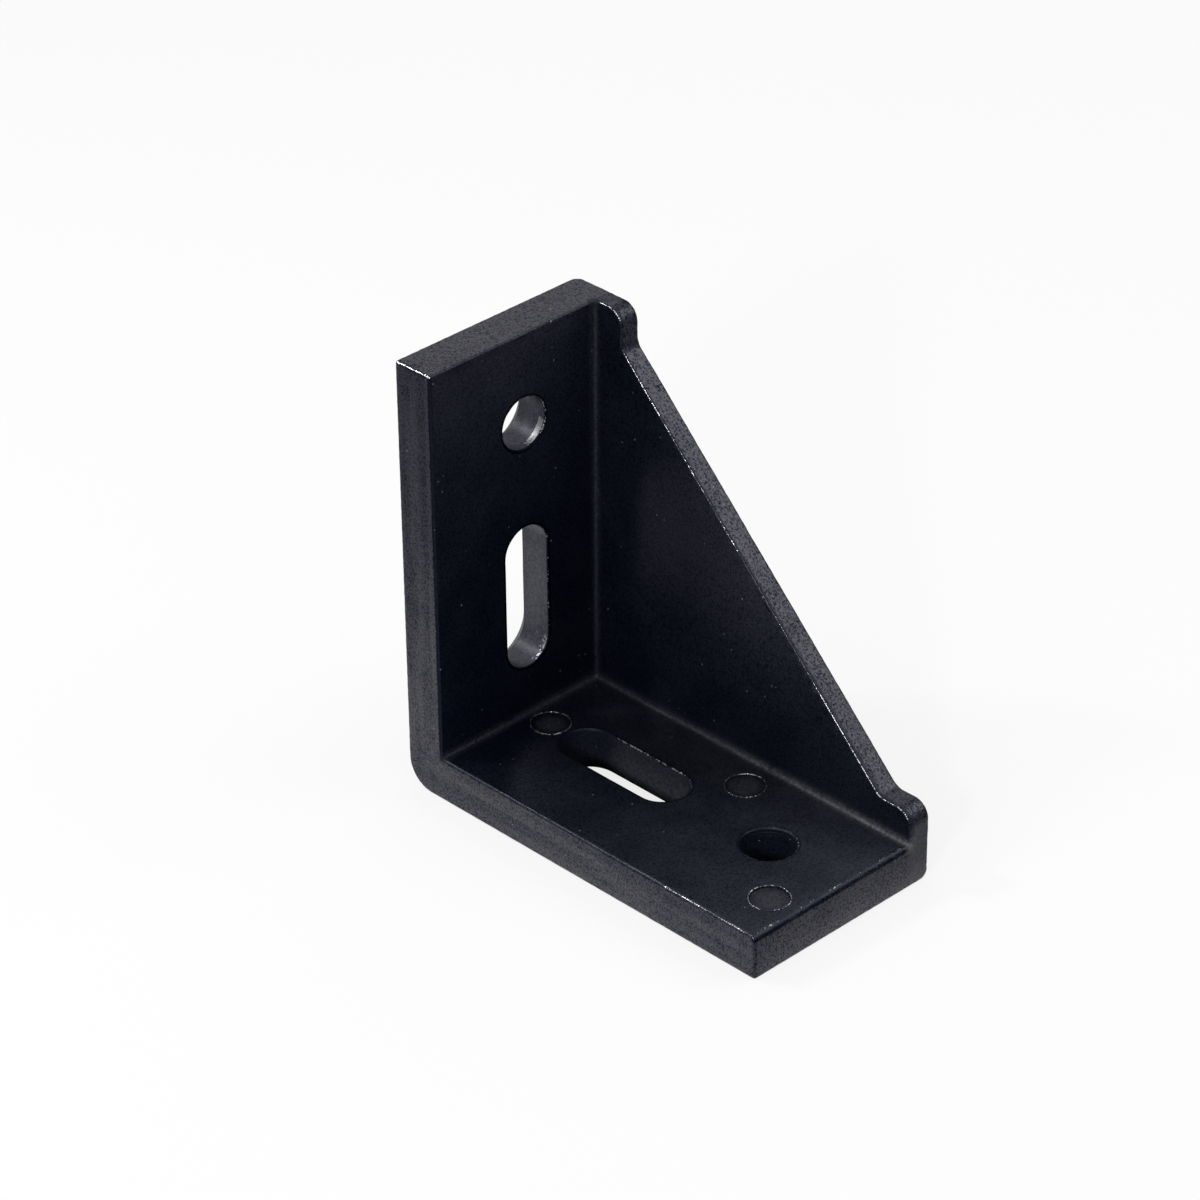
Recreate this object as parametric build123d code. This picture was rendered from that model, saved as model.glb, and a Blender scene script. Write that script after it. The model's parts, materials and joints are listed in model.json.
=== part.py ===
"""Cast corner bracket for slotted profile: two equal legs at a right angle, tied by one brace plate.

It is modelled, in millimetres, from its mating corner: X runs out along the base leg, Y across
the width towards the brace, and Z up the standing leg, so the mating faces are X = 0 and Z = 0.
At the end it moves so that its origin is the middle of the base leg's mating face.
"""
import os
from math import radians, tan

from build123d import *

# Main sizes
LEG_LENGTH = 58.5           # from the mating corner to the end of either leg
WIDTH = 29.5
LEG_THICKNESS = 6.0
BRACE_THICKNESS = 3.2       # halfway up the standing leg
DRAFT = 0.6                 # degrees that the brace's inner face leans, thinner towards the top

# Brace outline, the same on both legs
EAR_REACH = 10.5            # how far each end of the brace stands out from the mating plane
EAR_LENGTH = 5.0            # straight stretch before the slanting edge begins
EAR_RADIUS = 2.3
EAR_HOLLOW = 2.0            # radius where the ear runs into the slanting edge

# Screw openings, at the same places on both legs
SCREW_CLEARANCE = 6.8       # round hole's diameter and long hole's width
HOLE_FROM_END = 12.0
SLOT_LENGTH = 19.6
SLOT_FROM_HOLE = 24.0       # centre to centre
BASE_FLARE_WIDTH = 0.65     # how much wider, a side, the base leg's openings are at the mating face
BASE_FLARE_DEPTH = 1.35
STANDING_FLARE_WIDTH = 1.5  # the same in the standing leg
STANDING_FLARE_DEPTH = 1.6
MOUTH_RADIUS = 0.2          # rounding of each opening's rim on the inside of the bend

# Marks left on the base leg by the mould's ejector pins
PIN_DIAMETER = 5.0
PIN_DEPTH = 0.15
PIN_AT_CORNER = 9.6         # first mark, from the mating corner, on the centre line
PIN_MIDDLE = 36.0           # second mark, from the mating corner
PIN_FROM_BRACE = 7.85       # second mark, from the brace's outer face
PIN_FROM_END = 4.3          # third mark, from the end of the leg
PIN_FROM_SIDE = 6.9         # third mark, from the open side

# Roundings
CORNER_RADIUS = 3.8         # outside of the bend
INSIDE_RADIUS = 0.4         # where the legs and the brace meet
BACK_RADIUS = 1.3           # long edge between the mating faces and the brace's outer face
INNER_RADIUS = 0.3          # the brace's inner edge, and the inner rim at the end of each leg
EDGE_RADIUS = 0.45          # every other outside edge

HOLE_AT = LEG_LENGTH - HOLE_FROM_END
SLOT_AT = HOLE_AT - SLOT_FROM_HOLE
MIDDLE = WIDTH / 2
NEAR = 1e-3                 # how close two places must be to count as the same
OUT = 1.0                   # how far a cutting body stands out of the part

# The inside face of each leg at its middle, drawn with its first axis along the leg
BASE_INSIDE = Plane(origin=(0, MIDDLE, LEG_THICKNESS), x_dir=(1, 0, 0), z_dir=(0, 0, 1))
STANDING_INSIDE = Plane(origin=(LEG_THICKNESS, MIDDLE, 0), x_dir=(0, 0, 1), z_dir=(1, 0, 0))


def at_corners(*places):
    """The vertices of the sketch in hand that lie at the given places."""
    found = ShapeList()
    for x, z in places:
        found += [v for v in vertices() if abs(v.X - x) < NEAR and abs(v.Y - z) < NEAR]
    return found


def legs():
    """Both legs as one bent strip, rounded outside the bend."""
    corners = [
        (0, 0),
        (LEG_LENGTH, 0),
        (LEG_LENGTH, LEG_THICKNESS),
        (LEG_THICKNESS, LEG_THICKNESS),
        (LEG_THICKNESS, LEG_LENGTH),
        (0, LEG_LENGTH),
    ]
    with BuildPart() as strip:
        with BuildSketch(Plane.XZ):
            with BuildLine():
                Polyline(*corners, close=True)
            make_face()
            fillet(at_corners((0, 0)), CORNER_RADIUS)
        extrude(amount=-WIDTH)
    return strip.part


def brace():
    """The side plate: an ear on each leg, a slanting edge between them, and a drafted inner face."""
    upper = EAR_REACH, LEG_LENGTH - EAR_LENGTH
    lower = upper[::-1]
    corners = [
        (0, 0),
        (LEG_LENGTH, 0),
        (LEG_LENGTH, EAR_REACH),
        lower,
        upper,
        (EAR_REACH, LEG_LENGTH),
        (0, LEG_LENGTH),
    ]
    with BuildPart() as plate:
        with BuildSketch(Plane.XZ.offset(-WIDTH)):
            with BuildLine():
                Polyline(*corners, close=True)
            make_face()
            fillet(at_corners((0, 0)), CORNER_RADIUS)
            fillet(at_corners((LEG_LENGTH, EAR_REACH), (EAR_REACH, LEG_LENGTH)), EAR_RADIUS)
            fillet(at_corners(upper, lower), EAR_HOLLOW)
        extrude(amount=2 * BRACE_THICKNESS)
    inner_face = Plane(
        origin=(0, WIDTH - BRACE_THICKNESS, LEG_LENGTH / 2),
        x_dir=(1, 0, 0),
        z_dir=Vector(0, 1, 0).rotate(Axis.X, -DRAFT),
    )
    return split(plate.part, bisect_by=inner_face, keep=Keep.TOP)


def brace_face_at(z):
    """How far across the width the brace's inner face lies at height z."""
    return WIDTH - BRACE_THICKNESS + (z - LEG_LENGTH / 2) * tan(radians(DRAFT))


def points_of(edge):
    return [edge @ 0, edge @ 0.5, edge @ 1]


def on_plane(edge, axis, value):
    """Whether an edge lies on the plane where its X, Y or Z has one value."""
    return all(abs(getattr(p, axis) - value) < NEAR for p in points_of(edge))


def on_brace(edge):
    """Whether an edge lies on the brace's drafted inner face."""
    return all(abs(p.Y - brace_face_at(p.Z)) < NEAR for p in points_of(edge))


def pick(body, test):
    return ShapeList([edge for edge in body.edges() if test(edge)])


def is_inside(edge):
    """Where two of the base leg, the standing leg and the brace meet inside the bend."""
    meets = [
        on_plane(edge, "Z", LEG_THICKNESS),
        on_plane(edge, "X", LEG_THICKNESS),
        on_brace(edge),
    ]
    return sum(meets) == 2


def is_back(edge):
    """The long edge from the top, down round the bend and out to the end, beside the brace."""
    middle = edge @ 0.5
    round_bend = max(middle.X, middle.Z) < CORNER_RADIUS
    return on_plane(edge, "Y", WIDTH) and (
        on_plane(edge, "X", 0) or on_plane(edge, "Z", 0) or round_bend
    )


def is_inner(edge):
    """The brace's inner edge off the legs; its rounding runs on along the rim of each leg."""
    middle = edge @ 0.5
    off_legs = min(middle.X, middle.Z) > LEG_THICKNESS + INSIDE_RADIUS + NEAR
    return on_brace(edge) and off_legs


def is_outer(edge):
    """Every edge of the end faces and of both sides."""
    return (
        on_plane(edge, "X", LEG_LENGTH)
        or on_plane(edge, "Z", LEG_LENGTH)
        or on_plane(edge, "Y", 0)
        or on_plane(edge, "Y", WIDTH)
    )


def opening(inside_face, outline, flare_width, flare_depth):
    """Cuts one screw opening, flared at the mating face; outline draws it at a given growth."""
    flare_start = inside_face.offset(flare_depth - LEG_THICKNESS)
    flare_end = inside_face.offset(-LEG_THICKNESS)
    straight = extrude(inside_face.offset(OUT) * outline(0), amount=-(LEG_THICKNESS + 2 * OUT))
    flare = loft([flare_start * outline(0), flare_end * outline(flare_width)])
    return straight + flare


def round_hole(growth):
    return Pos(HOLE_AT, 0) * Circle(SCREW_CLEARANCE / 2 + growth)


def long_hole(growth):
    return Pos(SLOT_AT, 0) * SlotOverall(SLOT_LENGTH + 2 * growth, SCREW_CLEARANCE + 2 * growth)


def is_mouth(edge):
    """The rims of the screw openings on the inside of the bend."""
    middle = edge @ 0.5
    across = abs(middle.Y - MIDDLE) < SCREW_CLEARANCE / 2 + NEAR
    along = max(middle.X, middle.Z)
    in_span = SLOT_AT - SLOT_LENGTH / 2 - NEAR < along < HOLE_AT + SCREW_CLEARANCE / 2 + NEAR
    inside = on_plane(edge, "Z", LEG_THICKNESS) or on_plane(edge, "X", LEG_THICKNESS)
    return across and in_span and inside


def pin_marks():
    """Shallow round marks where the ejector pins pushed the base leg out of its mould."""
    places = [
        (PIN_AT_CORNER, 0),
        (PIN_MIDDLE, MIDDLE - PIN_FROM_BRACE),
        (LEG_LENGTH - PIN_FROM_END, PIN_FROM_SIDE - MIDDLE),
    ]
    with BuildPart() as marks:
        with BuildSketch(BASE_INSIDE):
            with Locations(*places):
                Circle(PIN_DIAMETER / 2)
        extrude(amount=-PIN_DEPTH)
    return marks.part


def corner_bracket():
    """The whole casting, in the mating corner's frame."""
    body = legs() + brace()
    body = fillet(pick(body, is_inside), INSIDE_RADIUS)
    body = fillet(pick(body, is_back), BACK_RADIUS)
    body = fillet(pick(body, is_inner), INNER_RADIUS)
    body = fillet(pick(body, is_outer), EDGE_RADIUS)
    for outline in (round_hole, long_hole):
        body -= opening(BASE_INSIDE, outline, BASE_FLARE_WIDTH, BASE_FLARE_DEPTH)
        body -= opening(STANDING_INSIDE, outline, STANDING_FLARE_WIDTH, STANDING_FLARE_DEPTH)
    body = fillet(pick(body, is_mouth), MOUTH_RADIUS)
    return body - pin_marks()


def main():
    bracket = Pos(-LEG_LENGTH / 2, -WIDTH / 2, 0) * corner_bracket()
    bracket.label = "corner_bracket"
    os.makedirs("parts", exist_ok=True)
    export_step(bracket, "parts/corner_bracket.step")


if __name__ == "__main__":
    main()
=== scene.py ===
"""The finished look of a cast corner bracket for slotted profile.

The casting is refined from its CAD solid: its skin is slightly uneven, the ejector-pin marks have their
broken lips and the drilled holes their tool rings. It wears a semi-gloss black coat over a fine cast grain,
and stands on a pale floor in soft studio light, seen from the photograph's side. Lengths are in metres.
"""
import json
import logging
from collections.abc import Callable
from dataclasses import dataclass
from enum import Enum
from functools import cache
from math import cos, hypot, pi, radians, sin

import bpy
from mathutils import Matrix, Quaternion, Vector


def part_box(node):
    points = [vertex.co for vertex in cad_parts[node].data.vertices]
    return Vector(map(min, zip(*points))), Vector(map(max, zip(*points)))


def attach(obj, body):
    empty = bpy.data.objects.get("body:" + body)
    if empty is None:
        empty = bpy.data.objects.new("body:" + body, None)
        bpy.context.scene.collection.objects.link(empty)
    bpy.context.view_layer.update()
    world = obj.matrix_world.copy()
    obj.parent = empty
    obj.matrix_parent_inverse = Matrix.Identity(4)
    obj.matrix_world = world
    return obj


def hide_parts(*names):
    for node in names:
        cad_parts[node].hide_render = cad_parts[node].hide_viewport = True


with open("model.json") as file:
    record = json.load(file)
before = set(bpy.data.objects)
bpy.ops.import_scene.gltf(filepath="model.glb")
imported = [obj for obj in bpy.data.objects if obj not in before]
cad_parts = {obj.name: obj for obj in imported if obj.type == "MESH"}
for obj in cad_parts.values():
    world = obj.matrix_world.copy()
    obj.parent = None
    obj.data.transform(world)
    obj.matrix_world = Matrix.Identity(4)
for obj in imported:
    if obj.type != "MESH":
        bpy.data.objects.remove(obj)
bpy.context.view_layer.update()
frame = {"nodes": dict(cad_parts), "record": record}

MM = 1e-3
NODE = "corner_bracket"

log = logging.getLogger("bracket")


class Way(Enum):
    """The way a flat or an opening's axis faces, as a unit vector."""

    ALONG = (1.0, 0.0, 0.0)
    ACROSS = (0.0, 1.0, 0.0)
    UP = (0.0, 0.0, 1.0)

    @property
    def vector(self) -> Vector:
        """The direction as a vector."""
        return Vector(self.value)


class Lit(Enum):
    """The kinds of ray that see a stage surface as plain white."""

    CAMERA = "Is Camera Ray"
    GLOSSY = "Is Glossy Ray"
    GLASS = "Is Transmission Ray"


class Measure:
    """A number that varies over a surface: one output socket, with the arithmetic that shaders need."""

    def __init__(self, graph: "Graph", socket: bpy.types.NodeSocket) -> None:
        """Wraps a socket.

        Args:
            graph: the node tree's builder.
            socket: the output that carries the number.
        """
        self.graph = graph
        self.socket = socket

    def math(self, operation: str, *others: "Measure | float") -> "Measure":
        """Adds one Math node with this number as its first input.

        Args:
            operation: the Math node's operation.
            others: its further inputs.

        Returns:
            The result as a new measure.
        """
        return self.graph.math(operation, self, *others)

    def __add__(self, other: "Measure | float") -> "Measure":
        """self + other."""
        return self.math("ADD", other)

    def __radd__(self, other: "Measure | float") -> "Measure":
        """other + self."""
        return self.math("ADD", other)

    def __sub__(self, other: "Measure | float") -> "Measure":
        """self - other."""
        return self.math("SUBTRACT", other)

    def __rsub__(self, other: "Measure | float") -> "Measure":
        """other - self."""
        return self.graph.math("SUBTRACT", other, self)

    def __mul__(self, other: "Measure | float") -> "Measure":
        """self * other."""
        return self.math("MULTIPLY", other)

    def __rmul__(self, other: "Measure | float") -> "Measure":
        """other * self."""
        return self.math("MULTIPLY", other)

    def __truediv__(self, other: "Measure | float") -> "Measure":
        """self / other."""
        return self.math("DIVIDE", other)

    def __abs__(self) -> "Measure":
        """The size of the number without its sign."""
        return self.math("ABSOLUTE")

    def smaller(self, other: "Measure | float") -> "Measure":
        """The smaller of this number and another."""
        return self.math("MINIMUM", other)

    def larger(self, other: "Measure | float") -> "Measure":
        """The larger of this number and another."""
        return self.math("MAXIMUM", other)

    def ramp(self, start: float, end: float) -> "Measure":
        """A smooth step from 0 at start to 1 at end, also where start is above end.

        Args:
            start: the value that gives 0.
            end: the value that gives 1.

        Returns:
            The step as a new measure.
        """
        settings = {"interpolation_type": "SMOOTHSTEP"}
        if start < end:
            values = {"Value": self, "From Min": start, "From Max": end}
            return self.graph.add("ShaderNodeMapRange", settings, values).out("Result")
        values = {"Value": self, "From Min": end, "From Max": start}
        return 1 - self.graph.add("ShaderNodeMapRange", settings, values).out("Result")


class Placed:
    """One node in the tree, for reading its outputs."""

    def __init__(self, graph: "Graph", node: bpy.types.Node) -> None:
        """Wraps a node.

        Args:
            graph: the node tree's builder.
            node: the node that was added.
        """
        self.graph = graph
        self.node = node

    def out(self, name: str | int) -> Measure:
        """One of the node's outputs as a measure."""
        return Measure(self.graph, self.node.outputs[name])


class Graph:
    """Builds a node tree from expressions."""

    def __init__(self, tree: bpy.types.NodeTree) -> None:
        """Empties a tree and starts to build in it.

        Args:
            tree: the material's or the world's node tree.
        """
        self.tree = tree
        tree.nodes.clear()

    def add(
        self,
        kind: str,
        settings: dict[str, object] | None = None,
        values: dict[str | int, object] | None = None,
    ) -> Placed:
        """Adds a node, sets its settings, then fills its input sockets.

        Args:
            kind: the node's type.
            settings: its own properties.
            values: a number, a colour or a link for each input, by name or by index.

        Returns:
            The node.
        """
        node = self.tree.nodes.new(kind)
        for name, setting in (settings or {}).items():
            setattr(node, name, setting)
        for name, value in (values or {}).items():
            if isinstance(value, Placed):
                value = value.out(0)
            if isinstance(value, Measure):
                self.tree.links.new(value.socket, node.inputs[name])
            else:
                node.inputs[name].default_value = value
        return Placed(self, node)

    def math(self, operation: str, *inputs: Measure | float) -> Measure:
        """Adds one Math node.

        Args:
            operation: the node's operation.
            inputs: its inputs in order.

        Returns:
            The result.
        """
        values = dict(enumerate(inputs))
        return self.add("ShaderNodeMath", {"operation": operation}, values).out(0)

    def place(self, centre: Vector = Vector()) -> Measure:
        """Object coordinates measured from a centre.

        Args:
            centre: the point that becomes the pattern's origin.

        Returns:
            The coordinates.
        """
        coordinates = self.add("ShaderNodeTexCoord").out("Object")
        if centre.length == 0:
            return coordinates
        moved = {"Vector": coordinates, "Location": -centre}
        return self.add("ShaderNodeMapping", {"vector_type": "POINT"}, moved).out(0)

    def axes(self, place: Measure) -> tuple[Measure, Measure, Measure]:
        """The X, Y and Z of some coordinates."""
        parts = self.add("ShaderNodeSeparateXYZ", None, {0: place})
        return parts.out(0), parts.out(1), parts.out(2)

    def noise(self, place: Measure, size: float, detail: float = 2.0, rough: float = 0.5) -> Measure:
        """Cloudy noise from 0 to 1.

        Args:
            place: the coordinates it follows.
            size: the width of one lump.
            detail: how many finer layers it has.
            rough: how strong the finer layers are.

        Returns:
            The noise.
        """
        values = {"Vector": place, "Scale": 1 / size, "Detail": detail, "Roughness": rough}
        return self.add("ShaderNodeTexNoise", None, values).out(0)

    def dots(self, place: Measure, pitch: float, spread: float = 1.0) -> Placed:
        """Scattered points, one in each cell, as the distance to the nearest and its own random colour.

        Args:
            place: the coordinates they follow.
            pitch: the width of one cell.
            spread: how far each point strays from its cell's middle.

        Returns:
            The node, whose Distance is in cells.
        """
        values = {"Vector": place, "Scale": 1 / pitch, "Randomness": spread}
        return self.add("ShaderNodeTexVoronoi", None, values)

    def blend(self, share: Measure, first: object, second: object) -> Measure:
        """Mixes two colours.

        Args:
            share: 0 gives the first and 1 the second.
            first: a colour or a link.
            second: a colour or a link.

        Returns:
            The mixed colour.
        """
        values = {0: share, 6: first, 7: second}
        return self.add("ShaderNodeMix", {"data_type": "RGBA"}, values).out(2)

    def seen_by(self, *kinds: Lit) -> Measure:
        """1 for the given kinds of ray and 0 for all others."""
        path = self.add("ShaderNodeLightPath")
        seen = path.out(kinds[0].value)
        for kind in kinds[1:]:
            seen = seen.larger(path.out(kind.value))
        return seen


@cache
def bracket_box() -> tuple[Vector, Vector]:
    """The bracket's lowest and highest corner in the CAD frame."""
    low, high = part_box(NODE)
    return Vector(low), Vector(high)


def mating_gap(point: Vector) -> float:
    """How far a point lies inwards of the nearer mating face."""
    low, _ = bracket_box()
    return min(point.x - low.x, point.z)


def solid(red: float, green: float, blue: float) -> tuple[float, float, float, float]:
    """An opaque colour, in linear values."""
    return red, green, blue, 1.0


@dataclass(frozen=True)
class BlackCoat:
    """Thin semi-gloss black coat over a cast skin, dull in its pits, with dust specks and edges worn to bare
    metal; its colour also holds painted light and shade: paler inner faces towards the open ends, sheen in the
    bends, glints on edges, rims and lips, lit opening walls, dark rings round the openings and darkened edges.
    """

    name: str = "black_coat"
    wear_and_glint: str = "wear_and_glint"
    deep: tuple = solid(0.0016, 0.0036, 0.0120)
    faded: tuple = solid(0.0060, 0.0088, 0.0175)
    # painted light: the colour the inner faces take towards the open ends
    open_end_light: tuple = solid(0.0230, 0.0270, 0.0370)
    dust_and_sheen: tuple = solid(0.2200, 0.2200, 0.2300)
    # painted light on the walls of the screw openings
    wall_light: tuple = solid(0.0780, 0.0835, 0.1020)
    # painted reflection in the middle of the pin marks
    disc: tuple = solid(0.0520, 0.0560, 0.0660)
    # painted sheen in the inside bends
    bend_sheen: tuple = solid(0.0900, 0.0910, 0.0970)
    # bare metal for worn edges and painted glints
    metal: tuple = solid(0.4400, 0.4400, 0.4600)
    tint: tuple = solid(0.95, 0.91, 1.00)
    gloss: float = 0.31
    gloss_change: float = 0.08
    inside_gloss: float = 0.08
    inside_dull: float = 0.35
    fold_gloss: float = 0.22
    wall_gloss: float = 0.14
    coat_gloss: float = 0.11
    coat_least: float = 0.14
    coat_change: float = 0.50
    patch: float = 6.0 * MM
    grain: float = 0.36 * MM
    grain_height: float = 0.024 * MM
    peel: float = 1.3 * MM
    peel_height: float = 0.020 * MM
    pit_pitch: float = 0.95 * MM
    pit_depth: float = 0.030 * MM
    speck_pitch: float = 1.7 * MM
    leg_thickness: float = 6.0 * MM
    brace_thickness: float = 3.2 * MM
    opening_width: float = 6.9 * MM
    openings_from: float = 12.0 * MM
    openings_to: float = 51.0 * MM
    opening_radius: float = 3.4 * MM
    hole_at: float = 46.5 * MM
    slot_at: float = 22.5 * MM
    slot_reach: float = 6.4 * MM
    slot_end: float = 38.0 * MM
    lit_slot_end: float = 36.0 * MM
    rim: float = 0.8 * MM
    disc_radius: float = 2.2 * MM
    skin: float = 0.12 * MM

    def material(self, discs: list[Vector]) -> bpy.types.Material:
        """Builds the coat.

        Args:
            discs: the centres of the ejector-pin marks, whose middles get a paler painted reflection.

        Returns:
            The material.
        """
        made = bpy.data.materials.new(self.name)
        made.use_nodes = True
        graph = Graph(made.node_tree)
        place = graph.place()
        patches = graph.noise(place, self.patch, 3.0).ramp(0.35, 0.70)
        mottle = graph.noise(place, 0.42 * MM, 2.0, 0.7).ramp(0.40, 0.70)
        inside = self.inside(graph, place)
        walls, lit_wall = self.walls(graph, place)
        fold, bend_sheen = self.folds(graph, place)
        bare_and_glint = self.bare_and_glint(graph, place)
        colour = graph.blend(patches * 0.5 + mottle * 0.5, self.deep, self.faded)
        rim_shade = self.rim_shade(graph, place)
        # painted light on the inner faces towards the open ends, kept off the dark rings
        colour = graph.blend(self.open_end_light_share(graph, place) * inside * (1 - rim_shade), colour, self.open_end_light)
        colour = graph.blend(self.disc_sheen(graph, place, discs) * (mottle * 0.5 + 0.35), colour, self.disc)
        colour = graph.blend(self.specks(graph, place), colour, self.dust_and_sheen)
        # painted sheen along the inside bends
        colour = graph.blend(bend_sheen, colour, self.bend_sheen)
        # painted light on the openings' walls
        colour = graph.blend(lit_wall * (0.55 + mottle * 0.45), colour, self.wall_light)
        # bare metal where the edges are worn and where glints are painted
        colour = graph.blend(bare_and_glint, colour, self.metal)
        rough = self.gloss + (patches - 0.5) * self.gloss_change
        rough = rough + inside * self.inside_gloss + fold * self.fold_gloss + walls * self.wall_gloss
        # the coat's dullness: real pits and grain, plus painted shade on some edges and faces
        dull_and_shade = (self.dull_and_shade(graph, place) * (1 - inside * 0.5) + inside * self.inside_dull).smaller(0.94)
        # painted shade: the coat made dull in the rings round the openings, and less dull in the bends' painted
        # sheen
        dull_and_shade = dull_and_shade.larger(rim_shade) * (1 - bend_sheen) * (1 - walls * 0.4)
        coat = (mottle * (0.35 + patches * 0.65) * self.coat_change + self.coat_least) * (1 - dull_and_shade)
        bump = {"Distance": 1.0, "Strength": 1.0, "Height": self.relief(graph, place)}
        values = {
            "Base Color": colour,
            "Metallic": dull_and_shade.larger(bare_and_glint),
            "Roughness": rough,
            "IOR": 1.5,
            "Specular Tint": self.tint,
            "Coat Weight": coat * (1 - inside * 0.8) * (1 - fold) * (1 - walls),
            "Coat Roughness": self.coat_gloss,
            "Normal": graph.add("ShaderNodeBump", None, bump).out(0),
        }
        shader = graph.add("ShaderNodeBsdfPrincipled", None, values)
        graph.add("ShaderNodeOutputMaterial", None, {"Surface": shader})
        return made

    def gaps(self, graph: Graph, place: Measure) -> tuple[Measure, Measure, Measure]:
        """How far a point lies inwards of the standing leg's, the base leg's and the brace's inner face.

        Args:
            graph: the material's builder.
            place: the object coordinates.

        Returns:
            The three distances.
        """
        low, high = bracket_box()
        x, y, z = graph.axes(place)
        from_stand = x - (low.x + self.leg_thickness)
        from_base = z - self.leg_thickness
        from_brace = (high.y - self.brace_thickness) - y
        return from_stand, from_base, from_brace

    def inside(self, graph: Graph, place: Measure) -> Measure:
        """1 on the three faces inside the bend, which are less glossy, and 0 elsewhere."""
        from_stand, from_base, from_brace = self.gaps(graph, place)
        least = from_stand.smaller(from_base).smaller(from_brace + 0.25 * MM)
        return least.ramp(-2.5 * self.skin, -self.skin)

    def rim_shade(self, graph: Graph, place: Measure) -> Measure:
        """Painted shade: narrow dark rings round the screw openings, where the coat is made to barely reflect.

        Args:
            graph: the material's builder.
            place: the object coordinates.

        Returns:
            How strongly the rings are shaded: most on the standing leg and 0 away from them.
        """
        from_stand, from_base, _ = self.gaps(graph, place)
        _, y, _ = graph.axes(place)
        upright = from_stand.ramp(0.5 * MM, 0.3 * MM)
        along = from_base * upright + from_stand * (1 - upright) + self.leg_thickness
        at_hole = along.ramp(self.slot_end, self.slot_end + self.skin)
        in_slot = along.larger(self.slot_at - self.slot_reach).smaller(self.slot_at + self.slot_reach)
        away = along - (in_slot * (1 - at_hole) + at_hole * self.hole_at)
        gap = (away * away + y * y).math("SQRT") - self.opening_radius
        ring = gap.ramp(0.50 * MM, 0.36 * MM) * gap.ramp(0.0, 0.03 * MM)
        on_face = abs(from_stand).smaller(abs(from_base)).ramp(0.35 * MM, 0.25 * MM)
        return ring * on_face * (upright * 0.32 + 0.60)

    def walls(self, graph: Graph, place: Measure) -> tuple[Measure, Measure]:
        """The walls of the screw openings.

        Args:
            graph: the material's builder.
            place: the object coordinates.

        Returns:
            1 on every wall and 0 elsewhere, and the share of painted light on the walls.
        """
        low, _ = bracket_box()
        x, y, z = graph.axes(place)
        base = z.ramp(self.leg_thickness - self.skin, self.leg_thickness - 2 * self.skin)
        depth = x - low.x
        stand = depth.ramp(self.leg_thickness - self.skin, self.leg_thickness - 2 * self.skin)
        base = base * z.ramp(0.0, self.skin)
        stand = stand * depth.ramp(0.0, self.skin)
        near = abs(y).ramp(self.opening_width * 0.75, self.opening_width * 0.74)
        along = depth.larger(z)
        span = along.ramp(self.openings_from - self.skin, self.openings_from) * along.ramp(
            self.openings_to + self.skin, self.openings_to
        )
        every = near * span
        # painted light: on the base slot's wall but not the hole's, darker at the slot's near end and lighter
        # towards its bottom; the standing leg's walls get less
        slot = depth.ramp(self.lit_slot_end + self.skin, self.lit_slot_end) * 0.96 + 0.04
        slot = slot * (depth.ramp(14.5 * MM, 20.0 * MM) * 0.92 + 0.08) * (z.ramp(5.7 * MM, 2.4 * MM) * 0.5 + 0.5)
        return base.larger(stand) * every, (base * slot).larger(stand * 0.60) * every

    def disc_sheen(self, graph: Graph, place: Measure, discs: list[Vector]) -> Measure:
        """Painted reflection: the middles of the ejector-pin marks, made paler.

        Args:
            graph: the material's builder.
            place: the object coordinates.
            discs: the marks' centres.

        Returns:
            1 in the middle of a mark, falling to 0 at its rim.
        """
        x, y, z = graph.axes(place)
        total = z.ramp(self.leg_thickness - 0.5 * MM, self.leg_thickness - 0.4 * MM)
        nearest = None
        for disc in discs:
            across, along = x - disc.x, y - disc.y
            away = (across * across + along * along).math("SQRT")
            nearest = away if nearest is None else nearest.smaller(away)
        return total * nearest.ramp(self.disc_radius, 0.45 * self.disc_radius)

    def open_end_light_share(self, graph: Graph, place: Measure) -> Measure:
        """Painted light on the inner faces: paler towards the open end of each leg and the top of the standing
        leg, and faintly on the brace.

        Args:
            graph: the material's builder.
            place: the coordinates it follows.

        Returns:
            The share of painted light.
        """
        low, high = bracket_box()
        from_stand, from_base, from_brace = self.gaps(graph, place)
        _, y, _ = graph.axes(place)
        along = from_stand.ramp(-2.0 * MM, 0.72 * (high.x - low.x))
        skew = y * (1 - along) * (0.045 / MM)
        base = from_base.ramp(2.0 * MM, 0.3 * MM) * (along * 0.9 + 0.1 + skew).larger(0.0)
        brace = from_brace.ramp(1.0 * MM, 0.2 * MM) * 0.12
        upper = from_stand.ramp(1.0 * MM, 0.2 * MM) * from_base.ramp(20.0 * MM, 55.0 * MM) * 0.34
        clouds_share = graph.noise(place, 5.0 * MM, 3.0, 0.6).ramp(0.2, 0.75) * 0.55 + 0.45
        return base.larger(brace).larger(upper) * clouds_share

    def pits(self, graph: Graph, place: Measure) -> Measure:
        """Scattered small pits in the cast skin.

        Args:
            graph: the material's builder.
            place: the coordinates they follow.

        Returns:
            1 in a pit and 0 between them.
        """
        cells = graph.dots(place, self.pit_pitch)
        size = graph.noise(place, 2.1 * self.pit_pitch).ramp(0.40, 0.75) * 0.19 + 0.001
        return (cells.out("Distance") / size).ramp(1.0, 0.35)

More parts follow.
